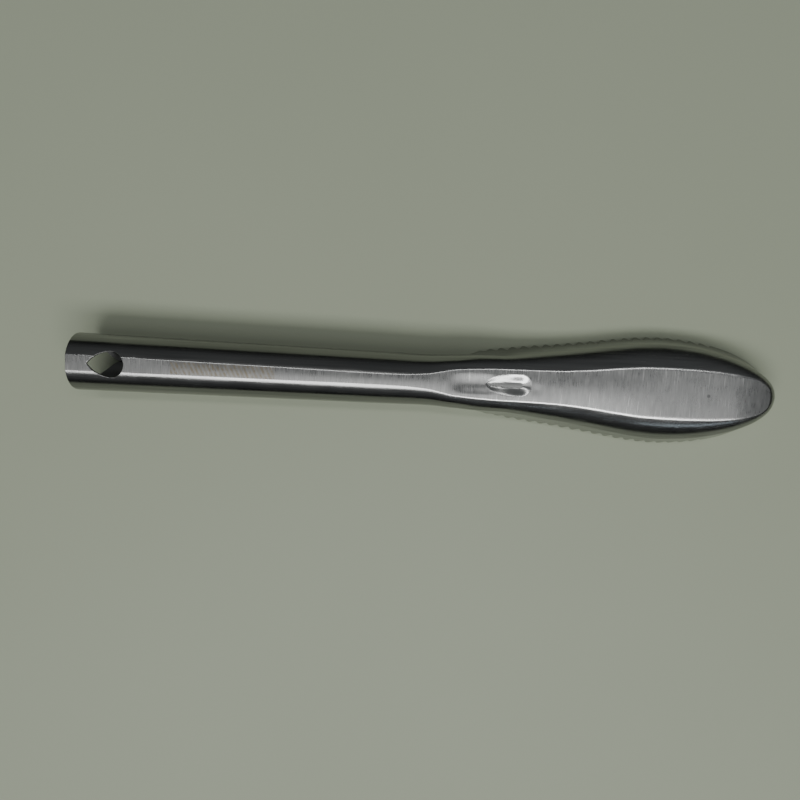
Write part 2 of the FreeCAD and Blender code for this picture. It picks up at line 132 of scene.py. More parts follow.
def neck_row(station, top, facet, crease, roll, wrap, lip):
    """Section of the opening neck: one arc from the crease to the lip, angles in degrees."""
    return (station, top, facet, math.radians(crease), roll, roll, math.radians(wrap), lip, 1.1)


def head_row(station, top, facet, foot, wall, bend, rounding):
    """Section of the head, whose foot is this far out; the wall's slope is in degrees."""
    wall = math.radians(wall)
    radius = shoulder_radius(foot - facet, top, CREASE, bend, wall)
    length = wall_length(top, CREASE, radius, bend, wall)
    return (station, top, facet, CREASE, radius, bend, wall, length, rounding)


ROWS = [tube_row(s) for s in (0.0, 28.0, 56.0, 84.0)]
ROWS += [
    neck_row(90.0, 14.65, 1.5, 12.0, 7.15, 168.0, 0.6),
    neck_row(97.0, 14.15, 2.0, 14.5, 6.8, 148.0, 0.9),
    neck_row(105.0, 13.15, 3.5, 17.0, 5.6, 112.0, 4.2),
    head_row(112.0, 12.35, 4.0, 8.7, 84.0, 3.2, 1.3),
    head_row(118.0, 11.75, 4.2, 9.9, 76.5, 2.6, 1.5),
    head_row(124.0, 11.25, 4.25, 10.8, 73.0, 2.4, 1.7),
    head_row(133.0, 10.7, 4.45, 11.9, 71.0, 2.2, 2.0),
    head_row(142.0, 10.5, 5.1, 13.1, 70.0, 2.2, 2.4),
    head_row(151.0, 10.5, 6.1, 14.4, 70.0, 2.2, 2.8),
    head_row(158.0, 10.5, 6.68, 15.25, 70.0, 2.2, 3.0),
    head_row(TOE_STATION, CROWN_HEIGHT, CROWN_HALF_WIDTH, FOOT_HALF_WIDTH, 70.0, BEND_RADIUS,
             HEAD_ROUNDING),
]
TABLE = np.array(ROWS)
COLUMNS = ("top", "facet", "crease", "radius", "bend", "wall", "length", "rounding")


def smooth_column(knots, values, where):
    """Monotone cubic through the knots, so that a size never overshoots between sections."""
    step = np.diff(knots)
    rise = np.diff(values) / step
    slope = np.zeros(len(knots))
    for i in range(1, len(knots) - 1):
        if rise[i - 1] * rise[i] > 0:
            w1, w2 = 2 * step[i] + step[i - 1], step[i] + 2 * step[i - 1]
            slope[i] = (w1 + w2) / (w1 / rise[i - 1] + w2 / rise[i])
    slope[0], slope[-1] = rise[0], 0.0
    i = np.clip(np.searchsorted(knots, where, side="right") - 1, 0, len(knots) - 2)
    t = (where - knots[i]) / step[i]
    return ((2 * t ** 3 - 3 * t ** 2 + 1) * values[i]
            + (t ** 3 - 2 * t ** 2 + t) * step[i] * slope[i]
            + (3 * t ** 2 - 2 * t ** 3) * values[i + 1]
            + (t ** 3 - t ** 2) * step[i] * slope[i + 1])


def section_at(station):
    """Section sizes at each station, as a dict of arrays."""
    station = np.clip(np.asarray(station, float), 0.0, TOE_STATION)
    return {name: smooth_column(TABLE[:, 0], TABLE[:, k + 1], station)
            for k, name in enumerate(COLUMNS)}


def add_rounding(size):
    """Replace the sharp crease by an arc: where it starts, and the slope where it ends."""
    lift = size["radius"] * np.cos(size["crease"]) - size["rounding"]
    size["turn"] = np.arccos(lift / (size["radius"] - size["rounding"]))
    size["start"] = (-size["radius"] * np.sin(size["crease"])
                     + (size["radius"] - size["rounding"]) * np.sin(size["turn"]))
    return size


def ease(value, low, high):
    """Smooth step from 0 at low to 1 at high."""
    share = np.clip((value - low) / (high - low), 0, 1)
    return share * share * (3 - 2 * share)


def camber_slope(station):
    """Slope of the top where it meets the crease: it is very slightly arched across."""
    return CAMBER * ease(station, *CAMBER_IN) * (1 - ease(station, *CAMBER_OUT))


def toe_droop(station):
    """The crown bends down a little before it reaches the toe."""
    share = np.maximum(station - DROOP_STATION, 0) / (CROWN_TIP_STATION - DROOP_STATION)
    return TOE_DROOP * share ** 2


def toe_fall(station):
    """Slope of the crown where it bends down."""
    reach = CROWN_TIP_STATION - DROOP_STATION
    return 2 * TOE_DROOP * np.maximum(station - DROOP_STATION, 0) / reach ** 2


def crown_edge(angle):
    """Crown edge in the toe: how far forward (share of its reach) and how far out."""
    def outline(value):
        return CROWN_HALF_WIDTH * (1 - np.abs(np.cos(value)) ** CROWN_OUTLINE_POWER) ** (
            1 / CROWN_OUTLINE_POWER)

    # Nearer the tip than this, the points are spread evenly along the outline
    near = math.radians(20.0)
    step = 0.01
    rise = (outline(near + step) - outline(near - step)) / (2 * step)
    bend = (rise - outline(near) / near) / (2 * near ** 2)
    start = outline(near) / near - bend * near ** 2
    out = np.where(np.abs(angle) < near, start * angle + bend * angle ** 3,
                   np.sign(angle) * outline(angle))
    forward = (1 - (np.abs(out) / CROWN_HALF_WIDTH) ** CROWN_OUTLINE_POWER).clip(0, 1) ** (
        1 / CROWN_OUTLINE_POWER)
    return forward, out


def path_at(u, side):
    """Sections along the tool's edge. u is the station up to the toe, and then goes round it
    by degrees. Gives the crease point, the direction out, and the sizes; side is 1 or -1."""
    u = np.asarray(u, float)
    size = section_at(np.minimum(u, TOE_STATION))
    angle = np.radians(90.0 - np.maximum(u - TOE_STATION, 0.0))
    fan = u > TOE_STATION
    forward, edge_y = crown_edge(angle)
    edge_x = TOE_STATION + (CROWN_TIP_STATION - TOE_STATION) * forward
    foot_x = TOE_STATION + (HALF_LENGTH * 2 - TOE_STATION) * np.cos(angle)
    foot_y = FOOT_HALF_WIDTH * np.sin(angle)
    span = np.hypot(foot_x - edge_x, foot_y - edge_y)
    turned = 1 - np.abs(np.sin(angle))
    wall = WALL * (1 - turned) + TOE_WALL * turned
    radius = shoulder_radius(span, CROWN_HEIGHT, CREASE, BEND_RADIUS, wall)
    top = CROWN_HEIGHT - np.where(fan, toe_droop(edge_x), 0.0)
    length = wall_length(top, CREASE, radius, BEND_RADIUS, wall)
    around = {"top": top, "facet": edge_y, "crease": CREASE, "radius": radius,
              "bend": BEND_RADIUS, "wall": wall, "length": length,
              "rounding": HEAD_ROUNDING + (TOE_ROUNDING - HEAD_ROUNDING) * turned}
    size = {name: np.where(fan, around[name], size[name]) for name in COLUMNS}
    edge = np.stack([np.where(fan, edge_x, u) - HALF_LENGTH, side * size["facet"]], -1)
    out = np.stack([np.where(fan, (foot_x - edge_x) / span, 0.0),
                    side * np.where(fan, (foot_y - edge_y) / span, 1.0)], -1)
    add_rounding(size)
    # The rounding starts where its slope is the top's own; each pass brings the two closer
    lean = camber_slope(u)
    for _ in range(4):
        border = size["start"] + size["rounding"] * np.sin(lean)
        station = edge[:, 0] + HALF_LENGTH + out[:, 0] * border
        lean = np.where(fan, np.arctan(toe_fall(station) * out[:, 0]), camber_slope(u))
    rise = np.where(fan, toe_droop(edge_x) - toe_droop(station), 0.0)
    rise = rise + size["rounding"] * (1 - np.cos(lean))
    size.update(lean=lean, border=border, top=size["top"] + rise,
                length=size["length"] + rise / np.sin(size["wall"]))
    return edge, out, size, np.where(fan, foot_x, u)


def tooth_line(station):
    """Height of the toothed lower edge: rounded tips on the table, rounded gaps between."""
    phase = (station - FIRST_GAP_STATION) / TOOTH_PITCH
    toothed = (phase > -0.5) & (phase < GAP_COUNT - 0.5)
    from_tip = 1 - 2 * np.abs(phase - np.round(phase))
    ramp = np.clip((from_tip - TIP_SHARE) / RISE_SHARE, 0, 1)
    rounded = ramp * ramp * (3 - 2 * ramp)
    return np.where(toothed, TOOTH_HEIGHT * (0.5 * ramp + 0.5 * rounded), 0.0)


def stretches(bend_steps, wall_steps):
    """Steps down a side, as stretch number and share of it: 0 is the rounded crease, 1 the
    shoulder, 2 the bend and 3 the straight wall."""
    counts = (5, 10, bend_steps, wall_steps)
    steps = [(k, i / n) for k, n in enumerate(counts) for i in range(n)]
    return steps + [(3, 1.0)]


def pick(part, rounding, shoulder, bend):
    """Value that goes with each stretch; the wall takes the bend's."""
    return np.where(part == 0, rounding, np.where(part == 1, shoulder, bend))


def side_surface(u, side, steps):
    """Outer skin of one side: points (n, m, 3) and the unit way down the section there."""
    edge, out, size, foot_station = path_at(u, side)
    s = {name: value[:, None] for name, value in size.items()}
    part = np.array([k for k, _ in steps])[None, :]
    share = np.array([f for _, f in steps])[None, :]
    # The outer skin stops short of the table by the rim and by the inner edge's extra reach
    room = RIM_BULGE * np.sin(size["wall"]) + SHEET * np.clip(np.cos(size["wall"]), 0, 1)
    room = room * np.clip((u - RIM_STATION) / (HEAD_STATION - RIM_STATION), 0, 1)
    lift = (np.where(u >= HEAD_STATION, tooth_line(foot_station), 0.0) + room)[:, None]
    straight = np.maximum(s["length"] - lift / np.sin(s["wall"]), 0.02)
    first_out = -s["radius"] * np.sin(s["crease"])
    first_up = s["top"] - s["radius"] * np.cos(s["crease"])
    second_out = first_out + (s["radius"] - s["bend"]) * math.sin(SHOULDER)
    second_up = first_up + (s["radius"] - s["bend"]) * math.cos(SHOULDER)
    slope = np.where(part == 0, s["lean"] + (s["turn"] - s["lean"]) * share,
                     np.where(part == 1, s["turn"] + (SHOULDER - s["turn"]) * share,
                              SHOULDER + (s["wall"] - SHOULDER) * share))
    slope = np.where(part == 3, s["wall"], slope)
    along = np.where(part == 3, straight * share, 0.0)
    centre_out = pick(part, s["start"], first_out, second_out)
    centre_up = pick(part, s["top"] - s["rounding"], first_up, second_up)
    radius = pick(part, s["rounding"], s["radius"], s["bend"])
    far = centre_out + radius * np.sin(slope) + along * np.cos(slope)
    high = centre_up + radius * np.cos(slope) - along * np.sin(slope)
    points = np.empty(far.shape + (3,))
    points[..., 0] = edge[:, None, 0] + out[:, None, 0] * far
    points[..., 1] = edge[:, None, 1] + out[:, None, 1] * far
    points[..., 2] = high
    fall = np.stack([out[:, None, 0] * np.cos(slope), out[:, None, 1] * np.cos(slope),
                     -np.sin(slope)], -1)
    return points, fall


def spaced(first, last, pitch):
    """Even steps of about this pitch, both ends included."""
    return np.linspace(first, last, max(int(round((last - first) / pitch)), 1) + 1)


def unit(vectors):
    return vectors / np.maximum(np.linalg.norm(vectors, axis=-1, keepdims=True), 1e-12)


def side_patch(u, side, steps):
    """Points, outward normals and grain coordinates (run along, run across) of one side."""
    points, fall = side_surface(u, side, steps)
    before, after = [side_surface(u + step, side, steps)[0] for step in (-PROBE, PROBE)]
    normals = unit(np.cross(after - before, fall)) * side
    run = np.cumsum(np.linalg.norm(np.diff(points, axis=1), axis=2), axis=1)
    run = np.concatenate([np.zeros((len(u), 1)), run], 1) + path_at(u, side)[2]["facet"][:, None]
    flat = np.array([1 - share if part == 0 else 0.0 for part, share in steps])
    flat = np.repeat(flat[None, :], len(u), 0)
    grain = np.stack([np.repeat(u[:, None], points.shape[1], 1), run * side, flat], -1)
    return points, normals, grain


# ---------------------------------------------------------------- the flat top

# Thumb dent: its wall takes up DENT_WALL_SHARE of the half width, and falls evenly but for
# DENT_EASED_SHARE of its depth, which is eased. Between the DENT_DEEPENS stations it gets
# deeper by the share DENT_DEEPENING. The brushing fades to DENT_BRUSHING within DENT_FADE.
DENT_REAR, DENT_MIDDLE = 113.1, 122.9
DENT_HALF_WIDTH = 3.05
DENT_OUTLINE_POWER = 0.62
DENT_WALL_SLOPE = math.tan(math.radians(14.5))
DENT_WALL_SHARE = 0.76
DENT_EASED_SHARE = 0.28
DENT_DEEPENING = 0.38
DENT_DEEPENS = (117.5, 122.0)
DENT_FADE = 0.1
DENT_BRUSHING = 0.3

# Hollow that leads into the dent, and the faint one beyond it
LEAD_IN_DEPTH = 0.3
LEAD_IN_STARTS, LEAD_IN_ENDS = (101.5, 108.5), (113.0, 117.5)
LEAD_IN_HALF_WIDTH = 3.1
BEYOND_DEPTH = 0.06
BEYOND_STATION, BEYOND_ACROSS, BEYOND_SPREAD = 127.2, -0.9, 1.5


def dent_depth(station, across):
    """Pressed thumb dent: even walls round a narrow floor, deepest towards the head."""
    share = np.clip((station - DENT_REAR) / (DENT_MIDDLE - DENT_REAR), 0, 1)
    width = np.maximum(DENT_HALF_WIDTH * (1 - (1 - share) ** 3) ** DENT_OUTLINE_POWER, 0.02)
    ratio = np.where(station < DENT_MIDDLE, np.abs(across) / width,
                     np.hypot(station - DENT_MIDDLE, across) / DENT_HALF_WIDTH)
    wall = np.clip((1.0 - ratio) / DENT_WALL_SHARE, 0, 1)
    wall = (1 - DENT_EASED_SHARE) * wall + DENT_EASED_SHARE * wall * wall * (3 - 2 * wall)
    deepest = (DENT_WALL_SLOPE * DENT_WALL_SHARE * width
               * (1 + DENT_DEEPENING * ease(station, *DENT_DEEPENS)))
    return np.where(ratio < 1, deepest * wall, 0.0)


def lead_in_depth(station, across):
    """Shallow hollow that runs into the dent from the neck, and a faint one beyond it."""
    half = np.minimum(0.9 * section_at(station)["facet"], LEAD_IN_HALF_WIDTH)
    profile = np.clip(1 - (across / half) ** 2, 0, 1) ** 2
    rear = ease(station, *LEAD_IN_STARTS) * (1 - ease(station, *LEAD_IN_ENDS)) * profile
    front = np.exp(-((station - BEYOND_STATION) / BEYOND_SPREAD) ** 2
                   - ((across - BEYOND_ACROSS) / BEYOND_SPREAD) ** 2)
    return LEAD_IN_DEPTH * rear + BEYOND_DEPTH * front


def top_height(station, across):
    """Height of the top: level along each section but for the camber, dent and hollows."""
    size = add_rounding(section_at(station))
    lean = camber_slope(station)
    half = size["facet"] + size["start"] + size["rounding"] * np.sin(lean)
    arch = 0.5 * half * np.tan(lean) * (1 - (across / half) ** 2)
    return (size["top"] + arch - dent_depth(station, across) - lead_in_depth(station, across)
            - toe_droop(station))


def slope_normals(height, station, across):
    """Unit normals of a surface given by its height."""
    rise_x = (height(station + PROBE, across) - height(station - PROBE, across)) / (2 * PROBE)
    rise_y = (height(station, across + PROBE) - height(station, across - PROBE)) / (2 * PROBE)
    return unit(np.stack([-rise_x, -rise_y, np.ones_like(rise_x)], -1))


def top_patch(u, columns):
    """The flat top between the two creases, along the path u."""
    edge, out, size, _ = path_at(u, 1)
    edge = edge + out * size["border"][:, None]
    station = np.repeat(edge[:, :1] + HALF_LENGTH, columns + 1, 1)
    across = edge[:, 1:] * np.linspace(-1, 1, columns + 1)[None, :]
    points = np.stack([station - HALF_LENGTH, across, top_height(station, across)], -1)
    normals = slope_normals(top_height, station, across)
    flat = 1 - (1 - DENT_BRUSHING) * np.clip(dent_depth(station, across) / DENT_FADE, 0, 1)
    return points, normals, np.stack([station, across, flat], -1)


# ---------------------------------------------------------------- skins into solid pieces

# Sides of a patch that are borders between zones, as flags
CUT_START, CUT_END, CUT_LEFT, CUT_RIGHT = 1, 2, 4, 8

# Kinds of face: outer skin, inner skin, rounded rim, and flat cut between zones
OUTER, INNER, RIM, CUT = range(4)


class Skin:
    """Outer skin gathered from patches. Points that coincide are one vertex. "inward" is the
    way from the outer to the inner skin, and "cuts" marks the borders of a zone."""

    def __init__(self):
        self.index, self.points, self.normals, self.grain, self.cuts = {}, [], [], [], []
        self.inward, self.faces = [], []

    def vertex(self, point, normal, grain, cut, inward):
        key = tuple(np.rint(point * 1e4).astype(int))
        if key not in self.index:
            self.index[key] = len(self.points)
            self.points.append(point)
            self.normals.append(normal)
            self.grain.append(grain)
            self.inward.append(inward)
            self.cuts.append(0)
        number = self.index[key]
        self.cuts[number] |= cut
        return number

    def patch(self, points, normals, grain, cuts=0, flip=False, keep=None, inward=None):
        """Add a grid of points; "keep" says which of its cells get a face."""
        inward = -normals if inward is None else inward
        rows, columns = points.shape[:2]
        grid = np.empty((rows, columns), int)
        for i in range(rows):
            for j in range(columns):
                flag = (CUT_START if i == 0 else 0) | (CUT_END if i == rows - 1 else 0)
                flag |= (CUT_LEFT if j == 0 else 0) | (CUT_RIGHT if j == columns - 1 else 0)
                grid[i, j] = self.vertex(points[i, j], normals[i, j], grain[i, j], flag & cuts,
                                         inward[i, j])
        for i in range(rows - 1):
            for j in range(columns - 1):
                if keep is not None and not keep[i, j]:
                    continue
                face = [grid[i, j], grid[i + 1, j], grid[i + 1, j + 1], grid[i, j + 1]]
                face = [v for n, v in enumerate(face) if v != face[n - 1]]
                if len(set(face)) > 2:
                    self.faces.append(face[::-1] if flip else face)


def border_edges(faces):
    """Directed edges that only one face uses."""
    edges = {(face[n - 1], face[n]) for face in faces for n in range(len(face))}
    return [edge for edge in edges if (edge[1], edge[0]) not in edges]


def solid_piece(name, skin, material, node):
    """Give a skin the sheet's thickness. Cut borders are closed flat, and the others get a
    rounded rim. Smooth normals come from the skin, so that zones meet without a line."""
    points, normals = np.array(skin.points), unit(np.array(skin.normals))
    grain, cuts = np.array(skin.grain), np.array(skin.cuts)
    count = len(points)
    inner = points + SHEET * np.array(skin.inward)
    borders = border_edges(skin.faces)
    rims = [(a, b) for a, b in borders if not cuts[a] & cuts[b]]
    outward = np.zeros_like(points)
    for a, b in rims:
        way = unit(np.cross(points[b] - points[a], normals[a] + normals[b]))
        outward[a] += way
        outward[b] += way
    rim_points, rim_start = [], {}
    for v in sorted({v for edge in rims for v in edge}):
        rim_start[v] = 2 * count + len(rim_points)
        middle, arm = (points[v] + inner[v]) / 2, (points[v] - inner[v]) / 2
        way = unit(outward[v])
        for degrees in RIM_STEPS:
            turn = math.radians(degrees)
            rim_points.append(middle + arm * math.cos(turn) + way * RIM_BULGE * math.sin(turn))
    steps = len(RIM_STEPS)

    def profile(v):
        between = [rim_start[v] + k for k in range(steps)] if v in rim_start else []
        return [v] + between + [v + count]

    faces = [list(face) for face in skin.faces]
    kinds = [OUTER] * len(faces)
    faces += [[v + count for v in face[::-1]] for face in skin.faces]
    kinds += [INNER] * len(skin.faces)
    is_rim = set(rims)
    for a, b in borders:
        down_a, down_b = profile(a), profile(b)
        if (a, b) in is_rim:
            for k in range(steps + 1):
                faces.append([down_b[k], down_a[k], down_a[k + 1], down_b[k + 1]])
                kinds.append(RIM)
        else:
            faces.append([b] + down_a + down_b[:0:-1])
            kinds.append(CUT)
    spots = np.vstack([points, inner] + ([np.array(rim_points)] if rim_points else []))
    mesh = bpy.data.meshes.new(name)
    mesh.from_pydata((spots * MM).tolist(), [], faces)
    mesh.update()
    finish_mesh(mesh, spots, faces, kinds, normals, grain, rim_start, count)
    piece = bpy.data.objects.new(name, mesh)
    bpy.context.scene.collection.objects.link(piece)
    piece.data.materials.append(material)
    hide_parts(node)
    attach(piece, "root")


def finish_mesh(mesh, spots, faces, kinds, normals, grain, rim_start, count):
    """Corner normals and the grain map of one piece, for its outer skin's normals and grain.
    The "flat" value is put below zero on the inside of the sheet."""
    smooth = np.zeros_like(spots)
    cut_normals = {}
    for number, (face, kind) in enumerate(zip(faces, kinds)):
        if kind in (RIM, CUT):
            corner = spots[face]
            normal = unit(np.cross(corner[2] - corner[0], corner[3 % len(face)] - corner[1]))
            cut_normals[number] = normal
            if kind == RIM:
                smooth[face] += normal
    smooth = unit(smooth)
    smooth[:count] = normals
    smooth[count:2 * count] = -normals
    source = np.arange(len(spots))
    source[count:2 * count] = np.arange(count)
    for v, start in rim_start.items():
        source[start:start + len(RIM_STEPS)] = v
    loop_normals, loop_grain = [], []
    inside = np.array([0.0, 0.0, -2.0])
    for number, (face, kind) in enumerate(zip(faces, kinds)):
        for v in face:
            loop_normals.append(cut_normals[number] if kind == CUT else smooth[v])
            loop_grain.append(grain[source[v]] + (inside if kind == INNER else 0))
    mesh.polygons.foreach_set("use_smooth", [True] * len(mesh.polygons))
    loop_grain = np.array(loop_grain, float)
    mesh.uv_layers.new(name="grain").data.foreach_set("uv", loop_grain[:, :2].ravel().tolist())
    flat = mesh.attributes.new("flat", "FLOAT", "CORNER")
    flat.data.foreach_set("value", loop_grain[:, 2].tolist())
    mesh.normals_split_custom_set([tuple(n) for n in loop_normals])


# ---------------------------------------------------------------- hanging end

# Teardrop hole: a round part, and two slightly bowed sides that meet in a point
HOLE_RADIUS = 3.65
HOLE_STATION = 11.85
HOLE_TOUCH = math.radians(99.0)
HOLE_SIDE_BOW = (7.5, 3.0)
HOLE_TIP_STATION = 5.3
HOLE_MIDDLE_STATION = 10.6

# Brushing of the hole's surroundings fades out within this share of the crease's rounding
BRUSH_SHARE = 0.3

# Rings of points round the hole, closer together near it; their walls go straight down at
# the hole and lean over to the sheet's own normal within UPRIGHT_SHARE of the way out
HOLE_PATCH = (3.0, 18.5)
HOLE_RINGS = 15
RING_POWER = 1.35
UPRIGHT_SHARE = 0.6

# Lower corners cut off at the open end: how far they reach, and their two roundings
CORNER_CUT = 7.0
CORNER_ROUNDING = 3.0
CORNER_BLEND = 0.5
CORNER_FADE = (7.0, 8.5)

END_ROW_PITCH = 0.5


def plan_height(station, across):
    """Height of the tube's outer skin over a point seen from above, near its top."""
    size = add_rounding(section_at(station))
    across = np.abs(across)
    centre = size["facet"] + size["start"]
    round_end = centre + size["rounding"] * np.sin(size["turn"])
    small = size["top"] - size["rounding"] + np.sqrt(
        np.maximum(size["rounding"] ** 2 - (across - centre) ** 2, 0))
    middle = size["facet"] - size["radius"] * np.sin(size["crease"])
    big = size["top"] - size["radius"] * np.cos(size["crease"]) + np.sqrt(
        np.maximum(size["radius"] ** 2 - (across - middle) ** 2, 0))
    return np.where(across < centre, size["top"], np.where(across < round_end, small, big))


def hole_outline():
    """Teardrop seen from above, as angle and distance from its middle, for the upper half."""
    turn = np.linspace(0, HOLE_TOUCH, 60)
    x = HOLE_STATION + HOLE_RADIUS * np.cos(turn)
    y = HOLE_RADIUS * np.sin(turn)
    t = np.linspace(0, 1, 60)[1:]
    bow_x, bow_y = HOLE_SIDE_BOW
    side_x = (1 - t) ** 2 * x[-1] + 2 * t * (1 - t) * bow_x + t ** 2 * HOLE_TIP_STATION
    side_y = (1 - t) ** 2 * y[-1] + 2 * t * (1 - t) * bow_y
    x, y = np.append(x, side_x), np.append(y, side_y)
    return np.arctan2(y, x - HOLE_MIDDLE_STATION), np.hypot(x - HOLE_MIDDLE_STATION, y)


def hole_patch(skin, border):
    """Rings from the hole's edge out to a rectangle of the tube's own grid points."""
    station, across = border[:, 0] + HALF_LENGTH, border[:, 1]
    angle = np.arctan2(across, station - HOLE_MIDDLE_STATION)
    angles, distances = hole_outline()
    reach = np.interp(np.abs(angle), angles, distances)
    hole_x = HOLE_MIDDLE_STATION + reach * np.cos(angle)
    hole_y = reach * np.sin(angle)
    ring = np.linspace(0, 1, HOLE_RINGS)[:, None]
    share = ring ** RING_POWER
    x = hole_x * (1 - share) + station * share
    y = hole_y * (1 - share) + across * share
    points = np.stack([x - HALF_LENGTH, y, plan_height(x, y)], -1)
    points[-1] = border
    normals = slope_normals(plan_height, x, y)
    size = section_at(x)
    arc = size["facet"] + size["radius"] * np.maximum(
        np.arcsin(np.clip(np.abs(y) / size["radius"], 0, 1)) - size["crease"], 0)
    run = np.where(np.abs(y) < size["facet"], y, np.sign(y) * arc)
    size = add_rounding(size)
    past = np.abs(y) - size["facet"] - size["start"]
    flat = 1 - np.clip(past / size["rounding"] / BRUSH_SHARE, 0, 1)
    grain = np.stack([x, run, flat], -1)
    down = np.array([0.0, 0.0, -1.0]) / normals[..., 2:]
    blend = (ring[:, :, None] / UPRIGHT_SHARE).clip(0, 1)
    inward = down * (1 - blend) - normals * blend
    closed = [np.concatenate([a, a[:, :1]], 1) for a in (points, normals, grain, inward)]
    skin.patch(*closed[:3], inward=closed[3])


def corner_cut(lip_distance):
    """Where the sheet starts, for a distance from the seam along the section."""
    plain = CORNER_CUT - lip_distance
    blunt = 0.5 * (plain + np.sqrt(plain ** 2 + CORNER_BLEND))
    excess = 0.5 * (np.sqrt(CORNER_CUT ** 2 + CORNER_BLEND) - CORNER_CUT)
    blunt = np.maximum(blunt - excess, 0)
    reach = CORNER_ROUNDING * (1 - math.sqrt(0.5))
    centre = CORNER_CUT - reach + CORNER_ROUNDING * math.sqrt(0.5)
    near = np.clip(CORNER_ROUNDING - lip_distance, 0, CORNER_ROUNDING)
    arc = centre - np.sqrt(CORNER_ROUNDING ** 2 - near ** 2)
    fade = np.clip((CORNER_FADE[1] - lip_distance) / (CORNER_FADE[1] - CORNER_FADE[0]), 0, 1)
    return np.where(lip_distance < reach, arc, blunt * fade)


FACET_COLUMNS = 16
TUBE_STEPS = stretches(26, 3)
BORDER_COLUMNS = 12


def whole_section(u):
    """Outer skin of a stretch with both sides and the facet, as one grid from seam to seam."""
    edge, _, size, _ = path_at(u, 1)
    half = (edge[:, 1] + size["border"])[:, None]
    across = half * np.linspace(-1, 1, FACET_COLUMNS + 1)[None, :]
    station = np.repeat(u[:, None], FACET_COLUMNS + 1, 1)
    facet = (np.stack([station - HALF_LENGTH, across, top_height(station, across)], -1),
             slope_normals(top_height, station, across),
             np.stack([station, across, np.ones_like(station)], -1))
    left, right = [side_patch(u, side, TUBE_STEPS) for side in (1, -1)]
    return [np.concatenate([near[:, :0:-1], middle, far[:, 1:]], 1)
            for near, middle, far in zip(right, facet, left)]


def build_hanging_end(steel):
    """Open end of the tube, with its cut lower corners and the teardrop hole."""
    rows = spaced(0, END_PIECE_STATION, END_ROW_PITCH)
    points, normals, grain = whole_section(rows)
    columns = points.shape[1]
    run = np.linalg.norm(np.diff(points[0], axis=0), axis=1)
    from_right = np.concatenate([[0], np.cumsum(run)])
    lip = np.minimum(from_right, from_right[-1] - from_right)
    starts = corner_cut(lip)
    for j in np.nonzero(starts > 0)[0]:
        u = starts[j] + (END_PIECE_STATION - starts[j]) * rows / END_PIECE_STATION
        points[:, j], normals[:, j], grain[:, j] = [part[:, j] for part in whole_section(u)]
    reach = FACET_COLUMNS // 2 + BORDER_COLUMNS
    low, high = columns // 2 - reach, columns // 2 + reach
    first, last = [int(round(station / END_ROW_PITCH)) for station in HOLE_PATCH]
    keep = np.ones((len(rows) - 1, columns - 1), bool)
    keep[first:last, low:high] = False
    skin = Skin()
    skin.patch(points, normals, grain, cuts=CUT_END, keep=keep)
    ring = [points[i, low] for i in range(first, last)]
    ring += [points[last, j] for j in range(low, high)]
    ring += [points[i, high] for i in range(last, first, -1)]
    ring += [points[first, j] for j in range(high, low, -1)]
    hole_patch(skin, np.array(ring))
    solid_piece("hanging_end_sheet", skin, steel, "hanging_end")


def build_stretch(name, node, u, steel):
    """Stretch of the handle or neck, with both sides and the facet."""
    skin = Skin()
    skin.patch(*whole_section(u), cuts=CUT_START | CUT_END)
    solid_piece(name, skin, steel, node)


TOP_COLUMNS = 36
SKIRT_STEPS = stretches(8, 12)


def build_top(name, node, u, steel):
    """Flat top alone."""
    skin = Skin()
    skin.patch(*top_patch(u, TOP_COLUMNS), cuts=CUT_START | CUT_END | CUT_LEFT | CUT_RIGHT)
    solid_piece(name, skin, steel, node)


def build_skirt(name, node, u, side, steel):
    """One side wall of the head, with its teeth."""
    skin = Skin()
    skin.patch(*side_patch(u, side, SKIRT_STEPS), cuts=CUT_START | CUT_END | CUT_LEFT,
               flip=side < 0)
    solid_piece(name, skin, steel, node)


def build_toe(u, steel):
    """Wall round the front end, as two mirrored halves that meet at the tip."""
    skin = Skin()
    for side in (1, -1):
        points, normals, grain = side_patch(u, side, SKIRT_STEPS)
        points[-1, :, 1] = 0.0
        skin.patch(points, normals, grain, cuts=CUT_START | CUT_LEFT, flip=side < 0)
    solid_piece("toe_cap_sheet", skin, steel, "toe_cap")


# ---------------------------------------------------------------- steel

# Etched strip: where it is along and across the facet, and its strokes' slant and width
ETCHED_RUN = (28.0, 56.0)
ETCHED_HALF_WIDTH = 1.6
STROKE_SLANT = (0.83, 0.4)
STROKE_SHARE = 0.26

# The handle is painted darker than the head, as painted shade; the change takes place between
# these stations
HANDLE_SHADE_SHARE = 0.8
HANDLE_SHADE_STATIONS = (88.0, 124.0)

# Small stain on the crown: its middle, and its squared radius inside and out
STAIN_SPOT = (174.9, -0.1)
STAIN_REACH = (0.12, 0.32)


def add(nodes, kind, **inputs):
    """New shader node with its named inputs set."""
    node = nodes.new("ShaderNode" + kind)
    for name, value in inputs.items():
        node.inputs[name.replace("_", " ")].default_value = value
    return node


